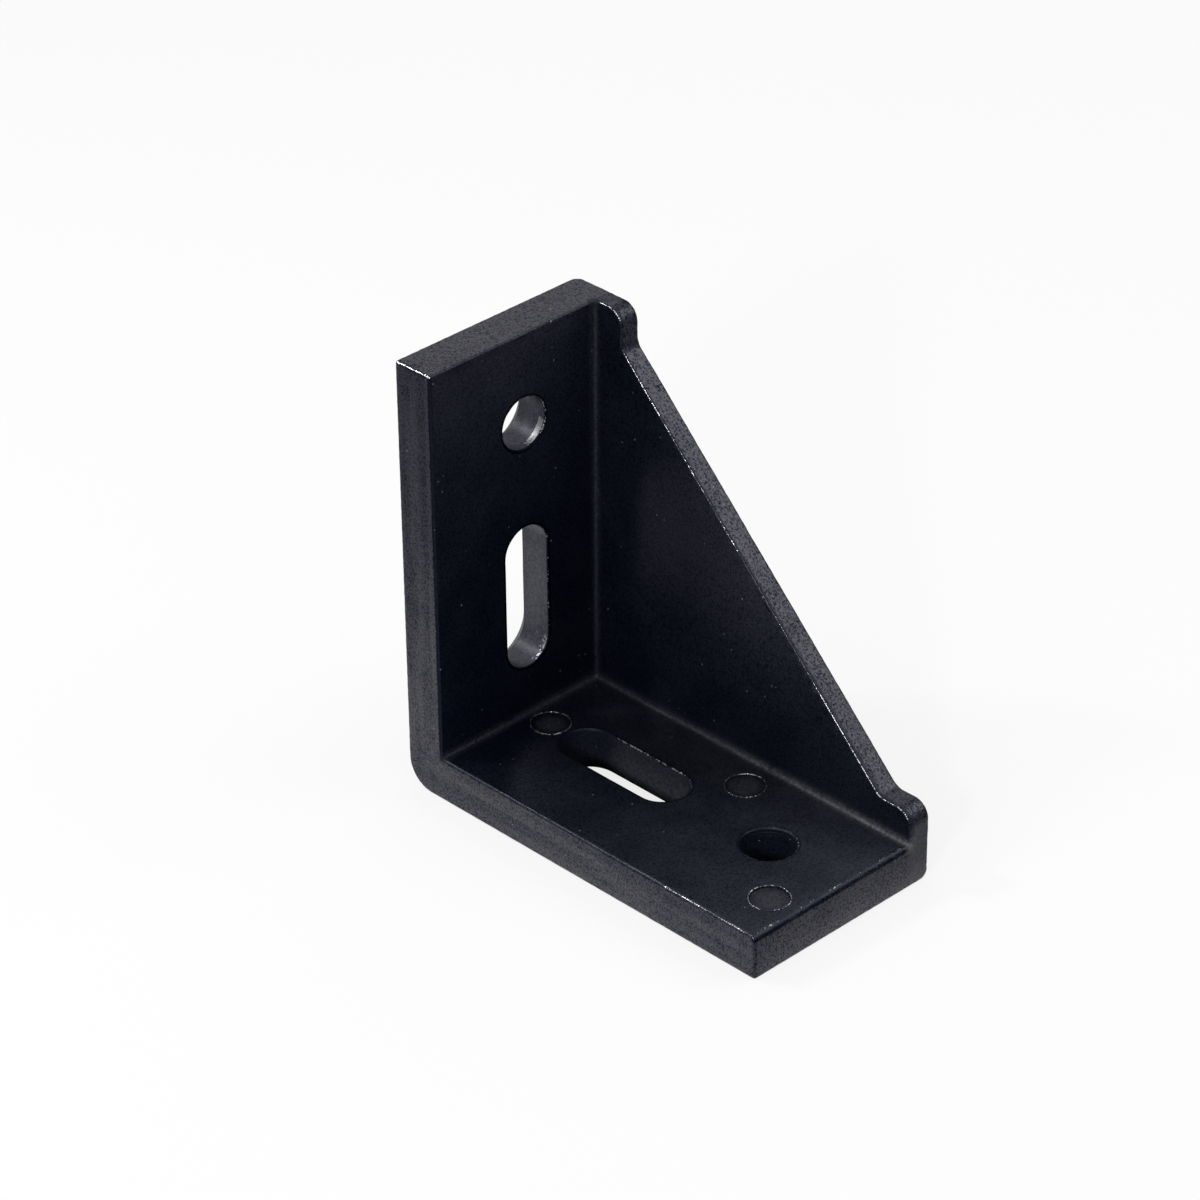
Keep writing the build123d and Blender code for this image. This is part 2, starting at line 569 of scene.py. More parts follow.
    def dull_and_shade(self, graph: Graph, place: Measure) -> Measure:
        """Where the coat barely reflects: in pits, dark grain and blotches, and in bands on the open side, with
        less grain on the open side face and more on the slanted face. It also holds painted shade, darker on the
        base leg's end rim, along the standing leg's vertical inner edge and on the open half of the base end
        face, and painted light on the base end face near the brace, which is made less dull; the top of the ear
        is darker too.

        Args:
            graph: the material's builder.
            place: the coordinates it follows.

        Returns:
            0 on bright coat and 1 on fully dull coat.
        """
        low, high = bracket_box()
        x, y, z = graph.axes(place)
        upright = (z - (x - low.x)).ramp(-0.5 * MM, 0.5 * MM)
        along = graph.add("ShaderNodeMapping", None, {"Vector": place, "Scale": (0.06, 1.0, 1.0)}).out(0)
        up = graph.add("ShaderNodeMapping", None, {"Vector": place, "Scale": (1.0, 1.0, 0.06)}).out(0)
        tall = graph.noise(up, 1.5 * MM, 2.0, 0.5) * upright
        bands = (graph.noise(along, 1.5 * MM, 2.0, 0.5) * (1 - upright) + tall).ramp(0.40, 0.66)
        bands = bands * y.ramp(low.y + 3 * self.skin, low.y + self.skin) * 0.30
        grain = graph.noise(place, 0.29 * MM, 2.0, 0.75).ramp(0.47, 0.62) * 0.84
        blotches = graph.noise(place, 3.0 * MM, 2.0, 0.6).ramp(0.45, 0.75)
        ear_top = (x - low.x).ramp(self.leg_thickness - self.skin, self.leg_thickness + self.skin)
        ear_top = ear_top * z.ramp(high.z - 1.4 * MM, high.z - 0.6 * MM) * (0.25 + blotches * 0.4)
        # painted shade: a dark band on the base leg's end rim, running out before the brace
        end_rim_shade = x.ramp(high.x - self.rim, high.x - 0.7 * self.rim) * y.ramp(
            high.y - self.brace_thickness, high.y - self.brace_thickness - 0.5 * MM
        )
        end_rim_shade = end_rim_shade * z.ramp(self.leg_thickness - self.rim, self.leg_thickness - 0.8 * self.rim) * 0.62
        # painted shade: the standing leg's vertical inner edge on the open side made dark
        edge_shade = x.ramp(low.x + self.leg_thickness - 0.45 * MM, low.x + self.leg_thickness - 0.25 * MM)
        edge_shade = edge_shade * y.ramp(low.y + 0.50 * MM, low.y + 0.30 * MM) * upright * 0.90
        end_face = x.ramp(high.x - self.skin, high.x - 0.5 * self.skin)
        # painted shade on the open half of the base end face, and painted light near the brace, where the end
        # face is made less dull
        end_open_shade = end_face * y.ramp(0.0, low.y) * 0.16
        end_ear_light = end_face * y.ramp(high.y - 4.0 * MM, high.y - 3.0 * MM)
        open_side = y.ramp(low.y + 3 * self.skin, low.y + self.skin)
        slanted = (x - low.x + z).ramp(high.z + 6 * MM, high.z + 8 * MM)
        grain = grain * (1 - open_side * 0.25 + slanted * 0.15)
        shade = bands + (grain + blotches * 0.22) * (1 - end_ear_light * 0.6) + ear_top + end_rim_shade + edge_shade + end_open_shade
        return shade.larger(self.pits(graph, place) * 0.92).smaller(0.94)

    def folds(self, graph: Graph, place: Measure) -> tuple[Measure, Measure]:
        """The three inside bends, where the coat is thick and a painted sheen lies along them.

        Args:
            graph: the material's builder.
            place: the coordinates it follows.

        Returns:
            1 in a bend and 0 on the flats, and the share of painted sheen there, strongest towards the base leg's
            end.
        """
        low, high = bracket_box()
        from_stand, from_base, from_brace = self.gaps(graph, place)
        along = from_stand.ramp(0.0, high.x - low.x) * 0.95 + 0.20
        frayed = graph.noise(place, 0.5 * MM, 2.0, 0.7).ramp(0.20, 0.72)
        bends = ((from_base, from_brace, along), (from_stand, from_brace, 0.10), (from_stand, from_base, 0.16))
        fold, dust_and_sheen = None, None
        for first, second, strength in bends:
            away = (first * first + second * second).math("SQRT")
            near = away.ramp(1.0 * MM, 0.45 * MM)
            sheen_near = away.ramp(1.3 * MM, 0.1 * MM) * strength
            fold = near if fold is None else fold.larger(near)
            dust_and_sheen = sheen_near if dust_and_sheen is None else dust_and_sheen.larger(sheen_near)
        return fold, (dust_and_sheen * frayed).smaller(1.0)

    def bare_and_glint(self, graph: Graph, place: Measure) -> Measure:
        """Specks of bare metal on the edges: partly wear, partly painted glints where light catches them.

        Args:
            graph: the material's builder.
            place: the coordinates they follow.

        Returns:
            1 on bare metal and 0 on coat.
        """
        wear_and_glint_share = graph.add("ShaderNodeAttribute", {"attribute_name": self.wear_and_glint}).out("Fac")
        fine = graph.noise(place, 0.34 * MM, 2.0, 0.6)
        broad = graph.noise(place, 3.2 * MM, 1.0)
        return (fine * 0.7 + broad * 0.3 + wear_and_glint_share * 0.34).ramp(0.71, 0.79) * wear_and_glint_share.ramp(0.05, 0.3)

    def relief(self, graph: Graph, place: Measure) -> Measure:
        """The coat's height: cast grain, orange peel and small pits.

        Args:
            graph: the material's builder.
            place: the coordinates it follows.

        Returns:
            The height in metres.
        """
        grain = graph.noise(place, self.grain, 1.0, 0.6) * self.grain_height
        peel = graph.noise(place, self.peel, 1.0) * self.peel_height
        return grain + peel - self.pits(graph, place) * self.pit_depth

    def specks(self, graph: Graph, place: Measure) -> Measure:
        """Sparse light specks of dust and worn grain.

        Args:
            graph: the material's builder.
            place: the coordinates they follow.

        Returns:
            1 on a speck and 0 between them.
        """
        cells = graph.dots(place, self.speck_pitch)
        chosen = graph.noise(place, 2.3 * self.speck_pitch, 0.0).ramp(0.46, 0.60)
        return cells.out("Distance").ramp(0.085, 0.030) * chosen


@dataclass(frozen=True)
class StageWhite:
    """Matt white floor that keeps a soft shadow and otherwise shows as white.

    In reflections it dims away from the bracket, as a small sheet does, and is left dark under it.
    """

    name: str
    paint: tuple = solid(0.90, 0.90, 0.90)
    white: tuple = solid(1.0, 1.0, 1.0)
    camera_share: float = 0.80
    near_light: float = 1.0
    far_light: float = 0.50
    end_loss: float = 0.42
    centre: Vector = Vector((-5.0, -22.0, 0.0)) * MM
    sheet: float = 35.0 * MM
    sheet_end: float = 90.0 * MM

    def material(self) -> bpy.types.Material:
        """Builds the white.

        Returns:
            The material.
        """
        made = bpy.data.materials.new(self.name)
        made.use_nodes = True
        graph = Graph(made.node_tree)
        matt = graph.add("ShaderNodeBsdfDiffuse", None, {"Color": self.paint})
        direct = graph.seen_by(Lit.CAMERA)
        strength = direct.larger(self.sheet_light(graph))
        plain = graph.add("ShaderNodeEmission", None, {"Color": self.white, "Strength": strength})
        share = (direct * self.camera_share).larger(graph.seen_by(Lit.GLOSSY, Lit.GLASS))
        values = {0: share, 1: matt, 2: plain}
        shader = graph.add("ShaderNodeMixShader", None, values)
        graph.add("ShaderNodeOutputMaterial", None, {"Surface": shader})
        return made

    def sheet_light(self, graph: Graph) -> Measure:
        """How bright the floor looks in a reflection.

        Args:
            graph: the material's builder.

        Returns:
            The strength, which falls with the distance from the bracket and is 0 under it.
        """
        _, high = bracket_box()
        x, y, _ = graph.axes(graph.place())
        from_x, from_y = x - self.centre.x, y - self.centre.y
        away = (from_x * from_x + from_y * from_y).math("SQRT")
        fall = away.ramp(self.sheet, self.sheet_end)
        light = fall * (self.far_light - self.near_light) + self.near_light
        light = light * (1 - x.ramp(high.x, high.x + 4 * MM) * self.end_loss)
        outside = (abs(x) / high.x).larger(abs(y) / high.y).ramp(0.96, 1.02)
        return light * outside


def select_only(thing: bpy.types.Object) -> None:
    """Makes one object the only selected and the active one."""
    bpy.ops.object.select_all(action="DESELECT")
    thing.select_set(True)
    bpy.context.view_layer.objects.active = thing


def apply_modifier(thing: bpy.types.Object, kind: str, **settings: object) -> None:
    """Adds a modifier, sets it and applies it.

    Args:
        thing: the object to change.
        kind: the modifier's type.
        settings: its properties.
    """
    select_only(thing)
    modifier = thing.modifiers.new(kind.title(), kind)
    for name, setting in settings.items():
        setattr(modifier, name, setting)
    bpy.ops.object.modifier_apply(modifier=modifier.name)


def clouds(name: str, size: float) -> bpy.types.Texture:
    """Solid cloud noise for displacement, with lumps of one size."""
    texture = bpy.data.textures.new(name, "CLOUDS")
    texture.noise_scale = size
    texture.noise_depth = 1
    return texture


def join(things: list[bpy.types.Object]) -> bpy.types.Object:
    """Joins several objects into the first.

    Args:
        things: the objects.

    Returns:
        The joined object.
    """
    select_only(things[0])
    for thing in things:
        thing.select_set(True)
    bpy.ops.object.join()
    return things[0]


@dataclass
class Lip:
    """A thin uneven ring of metal that stands up round a mark or along a hole's rim."""

    centre: Vector
    axis: Way
    radius: float
    thick: float = 0.10 * MM
    unevenness: float = 0.16 * MM
    lump: float = 1.2 * MM
    level: float = 0.5

    def make(self) -> bpy.types.Object:
        """Makes the ring, half sunk in the face that it lies on.

        Returns:
            The ring.
        """
        bpy.ops.object.select_all(action="DESELECT")
        bpy.ops.mesh.primitive_torus_add(
            location=self.centre,
            rotation=self.axis.vector.to_track_quat("Z", "Y").to_euler(),
            major_radius=self.radius,
            minor_radius=self.thick,
            major_segments=96,
            minor_segments=10,
        )
        ring = bpy.context.active_object
        bpy.ops.object.transform_apply(location=True, rotation=True, scale=True)
        settings = {"strength": self.unevenness, "mid_level": self.level, "texture_coords": "LOCAL"}
        settings["direction"] = {Way.ALONG: "X", Way.ACROSS: "Y", Way.UP: "Z"}[self.axis]
        apply_modifier(ring, "DISPLACE", texture=clouds("lip_clouds", self.lump), **settings)
        return ring


def lens(centre: Vector, half_sizes: Vector) -> bpy.types.Object:
    """Makes a flattened ball.

    Args:
        centre: its middle.
        half_sizes: its reach along each axis.

    Returns:
        The ball.
    """
    bpy.ops.object.select_all(action="DESELECT")
    bpy.ops.mesh.primitive_uv_sphere_add(segments=48, ring_count=20, radius=1.0, location=centre)
    ball = bpy.context.active_object
    ball.scale = half_sizes
    bpy.ops.object.transform_apply(location=True, rotation=True, scale=True)
    return ball


@dataclass
class PinMarks:
    """The marks of the mould's ejector pins on the base leg: a broken lip round a domed disc."""

    radius: float = 2.5 * MM
    depth: float = 0.15 * MM
    disc_gap: float = 0.12 * MM
    dome: float = 0.09 * MM
    leg_thickness: float = 6.0 * MM
    at_corner: float = 9.6 * MM
    middle: float = 36.0 * MM
    from_brace: float = 7.85 * MM
    from_end: float = 4.3 * MM
    from_side: float = 6.9 * MM

    def places(self) -> list[Vector]:
        """The marks' centres on the base leg.

        Returns:
            One point for each mark.
        """
        low, high = bracket_box()
        return [
            Vector((low.x + self.at_corner, 0, self.leg_thickness)),
            Vector((low.x + self.middle, high.y - self.from_brace, self.leg_thickness)),
            Vector((high.x - self.from_end, low.y + self.from_side, self.leg_thickness)),
        ]

    def solids(self) -> list[bpy.types.Object]:
        """Makes the lips and the discs.

        Returns:
            Two solids for each mark.
        """
        made = []
        reach = self.radius - self.disc_gap
        for place in self.places():
            floor = place - self.depth * Way.UP.vector
            made.append(Lip(place, Way.UP, self.radius + 0.02 * MM).make())
            made.append(lens(floor, Vector((reach, reach, self.dome))))
        return made


@dataclass
class MouldLines:
    """Fine grooves where the mould's pieces met, on both ends of the brace in line with a leg's inner face."""

    leg_thickness: float = 6.0 * MM
    middle: float = 1.65 * MM
    half_length: float = 1.5 * MM
    half_width: float = 0.09 * MM

    def solids(self) -> list[bpy.types.Object]:
        """Makes the bodies that cut the grooves.

        Returns:
            One body for each end.
        """
        low, high = bracket_box()
        y = high.y - self.middle
        half_sizes = Vector((self.half_width, self.half_length, self.half_width))
        return [
            lens(Vector((high.x, y, self.leg_thickness)), half_sizes),
            lens(Vector((low.x + self.leg_thickness, y, high.z)), half_sizes),
        ]


@dataclass
class DrilledHole:
    """The straight wall of one round hole, with the rings that a drill left on it."""

    centre: Vector
    axis: Way
    radius: float
    length: float
    pitch: float = 0.42 * MM
    depth: float = 0.035 * MM
    cuts: int = 12
    fade: float = 0.25 * MM
    off: float = 0.02 * MM

    def along(self, point: Vector) -> float:
        """How far a point lies from the wall's middle, along the axis."""
        return (point - self.centre).dot(self.axis.vector)

    def outward(self, point: Vector) -> Vector:
        """The way from the hole's axis to a point."""
        return point - self.centre - self.along(point) * self.axis.vector

    def on_wall(self, point: Vector) -> bool:
        """Whether a point lies on the hole's straight wall."""
        in_span = abs(self.along(point)) < self.length / 2 + self.off
        return in_span and abs(self.outward(point).length - self.radius) < self.off

    def cut(self, casting: bpy.types.Object) -> None:
        """Slices the wall finely and presses the rings into it.

        Args:
            casting: the bracket's mesh.
        """
        corners = casting.data.vertices

        def runs_along(edge: bpy.types.MeshEdge) -> bool:
            """Whether an edge runs down the wall."""
            a, b = (corners[i].co for i in edge.vertices)
            way = (b - a).normalized()
            return abs(way.dot(self.axis.vector)) > 0.99 and self.on_wall(a) and self.on_wall(b)

        subdivide_edges(casting, runs_along, self.cuts)
        for vertex in casting.data.vertices:
            if self.on_wall(vertex.co):
                along = self.along(vertex.co)
                turns = along / self.pitch
                wave = (0.5 - 0.5 * cos(2 * pi * turns)) * (0.6 + 0.4 * sin(1.7 * turns))
                inside = min(1.0, max(0.0, (self.length / 2 - abs(along)) / self.fade))
                vertex.co += self.outward(vertex.co).normalized() * wave * inside * self.depth


def subdivide_edges(
    thing: bpy.types.Object, chosen: Callable[[bpy.types.MeshEdge], bool], cuts: int
) -> None:
    """Cuts the chosen edges, and the faces between them, into equal stretches.

    Args:
        thing: the object to change.
        chosen: tells whether an edge is cut.
        cuts: how many cuts each gets.
    """
    select_only(thing)
    bpy.ops.object.mode_set(mode="EDIT")
    bpy.ops.mesh.select_mode(type="EDGE")
    bpy.ops.mesh.select_all(action="DESELECT")
    bpy.ops.object.mode_set(mode="OBJECT")
    for edge in thing.data.edges:
        edge.select = chosen(edge)
    bpy.ops.object.mode_set(mode="EDIT")
    bpy.ops.mesh.subdivide(number_cuts=cuts)
    bpy.ops.object.mode_set(mode="OBJECT")


@dataclass
class RoughEdges:
    """Every rounding of the casting, lumpy enough to break up a highlight."""

    group: str = "roundings"
    long_edge: float = 0.6 * MM
    cuts: int = 3
    lump: float = 0.62 * MM
    height: float = 0.075 * MM
    flat: float = 0.9995
    opening_reach: float = 5.1 * MM
    openings_from: float = 11.0 * MM
    openings_to: float = 51.6 * MM
    wear_and_glint: str = "wear_and_glint"
    mating_fade: float = 0.25 * MM
    # where the painted edge glints start along the legs, and how far they take to grow
    glint_from: float = 30.0 * MM
    glint_over: float = 16.0 * MM
    side: float = 0.7 * MM
    ear_top: float = 3.0 * MM
    leg_thickness: float = 6.0 * MM
    brace_thickness: float = 3.2 * MM
    bend: float = 0.8 * MM

    def in_opening(self, point: Vector) -> bool:
        """Whether a point lies in or just round one of the screw openings."""
        low, _ = bracket_box()
        along = max(point.x - low.x, point.z)
        return abs(point.y) < self.opening_reach and self.openings_from < along < self.openings_to

    def is_rounding(self, face: bpy.types.MeshPolygon) -> bool:
        """Whether a face belongs to a rounding, and not to one of the casting's flat sides."""
        normal = face.normal
        slanted = normal.dot(Vector((1, 0, 1)).normalized()) > self.flat
        aligned = max(abs(normal.x), abs(normal.y), abs(normal.z)) > self.flat
        return not (slanted or aligned or self.in_opening(face.center))

    def is_hollow(self, point: Vector) -> bool:
        """Whether a point lies in one of the inside bends."""
        low, high = bracket_box()
        gaps = [
            point.x - low.x - self.leg_thickness,
            point.z - self.leg_thickness,
            high.y - self.brace_thickness - point.y,
        ]
        return sum(abs(gap) < self.bend for gap in gaps) > 1 and min(gaps) > -self.bend

    def cut(self, casting: bpy.types.Object) -> None:
        """Cuts the roundings into short stretches and marks them as a vertex group.

        Args:
            casting: the bracket's mesh.
        """
        corners = casting.data.vertices
        sides = {
            key
            for face in casting.data.polygons
            if self.is_rounding(face)
            for key in face.edge_keys
        }

        def is_long_side(edge: bpy.types.MeshEdge) -> bool:
            """Whether an edge runs along a rounding."""
            a, b = (corners[i].co for i in edge.vertices)
            return edge.key in sides and (b - a).length > self.long_edge

        subdivide_edges(casting, is_long_side, self.cuts)
        inner, border = set(), set()
        for face in casting.data.polygons:
            (inner if self.is_rounding(face) else border).update(face.vertices)
        group = casting.vertex_groups.new(name=self.group)
        for index in inner:
            off_face = min(1.0, max(0.0, mating_gap(corners[index].co) / self.mating_fade))
            group.add([index], off_face * (0.4 if index in border else 1.0), "REPLACE")
        self.mark_wear_and_glint(casting, inner - border)

    def mark_wear_and_glint(self, casting: bpy.types.Object, inner: set[int]) -> None:
        """Stores how worn each point is, partly as painted glints: the crests of the outer edges that face up.

        Args:
            casting: the bracket's mesh.
            inner: the points that lie inside a rounding.
        """
        marks = casting.data.attributes.new(self.wear_and_glint, "FLOAT", "POINT")
        for index in inner:
            vertex = casting.data.vertices[index]
            if not self.is_hollow(vertex.co):
                marks.data[index].value = self.wear_and_glint_share(vertex.co, vertex.normal)

    def wear_and_glint_share(self, place: Vector, normal: Vector) -> float:
        """How worn a point on an outer rounding is, partly as a painted glint.

        Args:
            place: the point.
            normal: the way it faces.

        Returns:
            0 for none and 1 for most.
        """
        low, high = bracket_box()
        level = hypot(normal.x, normal.z)
        sideways = min(abs(normal.y), level) / max(abs(normal.y), level)
        lengthways = min(abs(normal.x), abs(normal.z)) / max(abs(normal.x), abs(normal.z), 1e-6)
        along = max(place.x - low.x, place.z)
        reach = min(1.0, max(0.0, (along - self.glint_from) / self.glint_over))
        if place.y < low.y + self.side:
            share = sideways * reach * (1.12 if place.z > high.z - self.side else 0.94)
        elif abs(place.y - (high.y - self.brace_thickness)) < self.side:
            share = sideways * (1.12 if place.z > high.z - self.ear_top else 0.55 + 0.45 * reach)
        elif place.y < high.y - self.brace_thickness and place.z > self.leg_thickness + self.side:
            share = lengthways * 0.5
        elif place.y < high.y - self.brace_thickness:
            share = max(0.0, 1.0 - abs(abs(normal.x) / max(normal.z, 1e-6) - 0.35) / 0.45) * 0.82
        else:
            share = 0.0
        return share**2 * min(1.0, max(0.0, (normal.z - 0.15) / 0.3))

    def roughen(self, casting: bpy.types.Object) -> None:
        """Displaces the roundings with fine lumps."""
        settings = {"strength": self.height, "mid_level": 0.5, "texture_coords": "LOCAL"}
        settings["vertex_group"] = self.group
        apply_modifier(casting, "DISPLACE", texture=clouds("edge_clouds", self.lump), **settings)
        casting.vertex_groups.clear()


@dataclass
class Casting:
    """The bracket's body, refined from its CAD solid."""

    piece: str = "bracket_casting"
    merge_gap: float = 0.002 * MM
    grid: float = 1.3 * MM
    leg_thickness: float = 6.0 * MM
    brace_thickness: float = 3.4 * MM
    rim: float = 0.8 * MM
    rim_fade: float = 1.4 * MM
    rim_least: float = 0.3 * MM
    unevenness: float = 0.06 * MM
    lump: float = 6.0 * MM
    mating_fade: float = 1.5 * MM
    crease: float = 35.0
    opening_radius: float = 3.4 * MM
    hole_at: float = 46.5 * MM
    slot_at: float = 22.5 * MM
    slot_reach: float = 6.4 * MM
    slot_end: float = 38.0 * MM
    wall_top: float = 5.0 * MM

    def copy(self) -> bpy.types.Object:
        """Copies the CAD node and joins its loose triangles.

        Returns:
            The copy.
        """
        data = frame["nodes"][NODE].data.copy()
        body = bpy.data.objects.new(self.piece, data)
        bpy.context.scene.collection.objects.link(body)
        data.name = self.piece
        data.materials.clear()
        select_only(body)
        bpy.ops.object.mode_set(mode="EDIT")
        bpy.ops.mesh.select_all(action="SELECT")
        bpy.ops.mesh.customdata_custom_splitnormals_clear()
        bpy.ops.mesh.remove_doubles(threshold=self.merge_gap)
        bpy.ops.mesh.dissolve_limited(angle_limit=radians(0.2))
        bpy.ops.object.mode_set(mode="OBJECT")
        return body

    def planes(self) -> list[tuple[Vector, Way]]:
        """The cuts that make the skin fine enough: an even grid, and closer ones at the base leg's end rim.

        Returns:
            A point and a direction for each cut.
        """
        low, high = bracket_box()
        cuts = []
        for axis, way in enumerate(Way):
            span = high[axis] - low[axis]
            count = round(span / self.grid)
            cuts += [(low + way.vector * span * (i + 0.5) / count, way) for i in range(count)]
        for share in (1.0, 0.8, 0.6):
            cuts.append((Vector((high.x - self.rim * share, 0, 0)), Way.ALONG))
            cuts.append((Vector((0, 0, self.leg_thickness - self.rim * share)), Way.UP))
            end = high.y - self.brace_thickness - self.rim_fade * share
            cuts.append((Vector((0, end, 0)), Way.ACROSS))
        return cuts

    def slice_up(self, body: bpy.types.Object) -> None:
        """Makes every cut in turn.

        Args:
            body: the copy to cut.
        """
        select_only(body)
        bpy.ops.object.mode_set(mode="EDIT")
        for point, way in self.planes():
            bpy.ops.mesh.select_all(action="SELECT")
            bpy.ops.mesh.bisect(plane_co=point, plane_no=way.vector)
        bpy.ops.mesh.select_all(action="SELECT")
        bpy.ops.mesh.remove_doubles(threshold=self.merge_gap)
        bpy.ops.mesh.dissolve_degenerate(threshold=self.merge_gap)
        bpy.ops.object.mode_set(mode="OBJECT")

    def soften_rim(self, body: bpy.types.Object) -> None:
        """Rounds the base leg's end rim further, and lets that run out just before the brace.

        Args:
            body: the copy to change.
        """
        _, high = bracket_box()
        brace = high.y - self.brace_thickness
        for vertex in body.data.vertices:
            place = vertex.co
            share = min(1.0, max(0.0, (brace - place.y) / self.rim_fade))
            radius = self.rim_least + (self.rim - self.rim_least) * share
            x = place.x - (high.x - radius)
            z = place.z - (self.leg_thickness - radius)
            away = hypot(x, z)
            on_leg = place.z < self.leg_thickness + self.merge_gap
            if on_leg and share > 0 and min(x, z) > 0 and away > radius:
                place.x += x * (radius / away - 1)
                place.z += z * (radius / away - 1)

    def make_uneven(self, body: bpy.types.Object) -> None:
        """Gives the skin the slight waviness of a casting, except on both mating faces, which are flat.

        Args:
            body: the casting.
        """
        group = body.vertex_groups.new(name="skin")
        for vertex in body.data.vertices:
            off_face = min(1.0, max(0.0, mating_gap(vertex.co) / self.mating_fade))
            group.add([vertex.index], off_face, "REPLACE")
        settings = {"strength": self.unevenness, "mid_level": 0.5, "texture_coords": "LOCAL"}
        settings["vertex_group"] = group.name
        apply_modifier(body, "DISPLACE", texture=clouds("skin_clouds", self.lump), **settings)

    def holes(self) -> list[DrilledHole]:
        """Both round holes, from the record."""
        made = []
        for name, way in (("base_hole", Way.UP), ("standing_hole", Way.ALONG)):
            found = next(m for m in frame["record"]["mounts"] if m["name"] == name)
            dims = found["dims"]
            made.append(DrilledHole(Vector(found["pos_m"]), way, dims["r_mm"] * MM, dims["length_mm"] * MM))
        return made

    def mouth_glints(self, body: bpy.types.Object) -> None:
        """Marks the far side of the screw openings' rims as bare metal: painted glints where the rims catch
        light.

        Args:
            body: the casting.
        """
        low, _ = bracket_box()
        data = body.data.attributes["wear_and_glint"].data
        for vertex in body.data.vertices:
            place = vertex.co
            depth = place.x - low.x
            if abs(place.z - self.leg_thickness) < 0.17 * MM:
                along, far = depth, 0.66
            elif abs(depth - self.leg_thickness) < 0.17 * MM:
                along, far = place.z, 0.50
            elif self.wall_top < depth < self.leg_thickness and abs(place.y) < self.opening_radius + self.rim:
                self.wall_glint(place, data[vertex.index])
                continue
            else:
                continue
            in_slot = min(self.slot_at + self.slot_reach, max(self.slot_at - self.slot_reach, along))
            nearest = self.hole_at if along > self.slot_end else in_slot
            gap = hypot(along - nearest, place.y) - self.opening_radius
            if 0.02 * MM < gap < 0.19 * MM:
                across = along - nearest if along > self.slot_end and depth > self.slot_end else place.y
                side = min(1.0, max(0.0, 0.3 + across / self.opening_radius))
                side *= min(1.0, max(0.0, (along - self.slot_at + self.slot_reach) / (2 * MM)))
                data[vertex.index].value = far * side

    def wall_glint(self, place: Vector, mark: bpy.types.FloatAttributeValue) -> None:
        """Marks a point on the lower far wall of the standing leg's openings as bare metal near its rim: a
        painted glint.

        Args:
            place: the point.
            mark: its wear.
        """
        in_slot = min(self.slot_at + self.slot_reach, max(self.slot_at - self.slot_reach, place.z))
        nearest = self.hole_at if place.z > self.slot_end else in_slot
        below = nearest - place.z
        if abs(hypot(below, place.y) - self.opening_radius) < 0.1 * MM:
            turned = (below + place.y) / (self.opening_radius * 2**0.5)
            mark.value = min(1.0, max(0.0, (turned - 0.72) / 0.2)) * 0.9

    def ring_glints(self, body: bpy.types.Object, marks: PinMarks) -> None:
        """Marks the lips round the pin marks as bare metal: partly wear, partly a painted glint all round them.

        Args:
            body: the casting.
            marks: the ejector-pin marks.
        """
        data = body.data.attributes["wear_and_glint"].data
        places = marks.places()
        top = self.leg_thickness + 0.02 * MM
        for vertex in body.data.vertices:
            gap = min((vertex.co - place).xy.length for place in places)
            if gap < marks.radius + 0.25 * MM and vertex.co.z < self.leg_thickness + 0.4 * MM:
                on_lip = vertex.co.z > top and gap > marks.radius - 0.2 * MM
                data[vertex.index].value = 0.72 if on_lip else 0.0

    def hole_lips(self) -> list[bpy.types.Object]:
        """Makes the faint lips round both holes, on the inside of the bend."""
        made = []
        for hole in self.holes():
            rim = hole.centre + hole.axis.vector * (self.leg_thickness - hole.centre.dot(hole.axis.vector))
            if hole.axis is Way.ALONG:
                low, _ = bracket_box()
                rim += low.x * Way.ALONG.vector
            lip = Lip(rim, hole.axis, hole.radius + 0.2 * MM, thick=0.07 * MM, unevenness=0.2 * MM, level=0.62)
            made.append(lip.make())
        return made

    def combine(self, body: bpy.types.Object, others: list[bpy.types.Object], operation: str) -> None:
        """Adds solids to the body or takes them away, and deletes them.

        Args:
            body: the casting.
            others: the solids.
            operation: the Boolean modifier's operation.
        """
        tool = join(others)
        apply_modifier(body, "BOOLEAN", object=tool, operation=operation, solver="EXACT")
        bpy.data.objects.remove(tool)

    def build(self, coat: BlackCoat, marks: PinMarks, lines: MouldLines) -> bpy.types.Object:
        """Makes the casting, dresses it and puts it in the CAD node's place.

        Args:
            coat: its finish.
            marks: the ejector-pin marks.
            lines: the mould's lines.

        Returns:
            The finished piece.
        """
        body = self.copy()
        self.slice_up(body)
        self.soften_rim(body)
        for hole in self.holes():
            hole.cut(body)
        edges = RoughEdges()
        edges.cut(body)
        self.make_uneven(body)
        edges.roughen(body)
        self.combine(body, marks.solids() + self.hole_lips(), "UNION")
        self.combine(body, lines.solids(), "DIFFERENCE")
        self.ring_glints(body, marks)
        self.mouth_glints(body)
        select_only(body)
        bpy.ops.object.shade_smooth_by_angle(angle=radians(self.crease))
        apply_modifier(body, "WEIGHTED_NORMAL", keep_sharp=True, weight=80)
        body.data.materials.clear()
        body.data.materials.append(coat.material(marks.places()))
        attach(body, "root")
        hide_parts(NODE)
        return body


